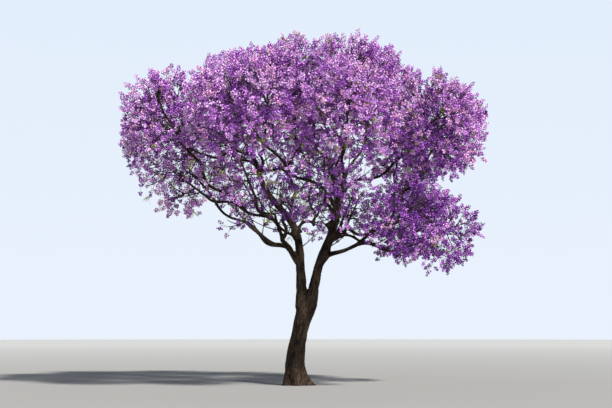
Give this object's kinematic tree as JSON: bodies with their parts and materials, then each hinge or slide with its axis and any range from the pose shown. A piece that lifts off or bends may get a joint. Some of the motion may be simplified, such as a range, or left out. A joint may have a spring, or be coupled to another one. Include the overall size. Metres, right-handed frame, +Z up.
{
  "type": "jacaranda tree",
  "caption": "Broad-domed flowering tree with a leaning forked trunk, spreading boughs and purple blossom, fixed at its flat-cut foot.",
  "frame": {"origin": "middle of the flat cut under the trunk, at ground level", "axes": "+Z up, +X to the viewer's right, -Y towards the viewer, so the trunk's upper part leans towards +X"},
  "size_m": [10.5051, 9.8384, 9.8827],
  "materials": {
    "bark": "rough",
    "blossom": "matte"
  },
  "bodies": {
    "root": {"trunk": "bark", "stem_left": "bark", "stem_right": "bark", "bough_01": "bark", "bough_02": "bark", "bough_03": "bark", "bough_04": "bark", "bough_05": "bark", "bough_06": "bark", "bough_07": "bark", "bough_08": "bark", "bough_09": "bark", "bough_10": "bark", "bough_11": "bark", "bough_12": "bark", "bough_13": "bark", "bough_14": "bark", "bough_15": "bark", "bough_16": "bark", "bough_17": "bark", "bough_18": "bark", "bough_19": "bark", "bough_20": "bark", "bough_21": "bark", "bough_22": "bark", "bough_23": "bark", "bough_24": "bark", "bough_25": "bark", "bough_26": "bark", "bough_27": "bark", "blossom_01": "blossom", "blossom_02": "blossom", "blossom_03": "blossom", "blossom_04": "blossom", "blossom_05": "blossom", "blossom_06": "blossom", "blossom_07": "blossom", "blossom_08": "blossom", "blossom_09": "blossom", "blossom_10": "blossom", "blossom_11": "blossom", "blossom_12": "blossom", "blossom_13": "blossom", "blossom_14": "blossom", "blossom_15": "blossom", "blossom_16": "blossom", "blossom_17": "blossom", "blossom_18": "blossom", "blossom_19": "blossom", "blossom_20": "blossom", "blossom_21": "blossom", "blossom_22": "blossom", "blossom_23": "blossom", "blossom_24": "blossom", "blossom_25": "blossom", "blossom_26": "blossom", "blossom_27": "blossom", "blossom_28": "blossom", "blossom_29": "blossom"}
  },
  "joints": []
}
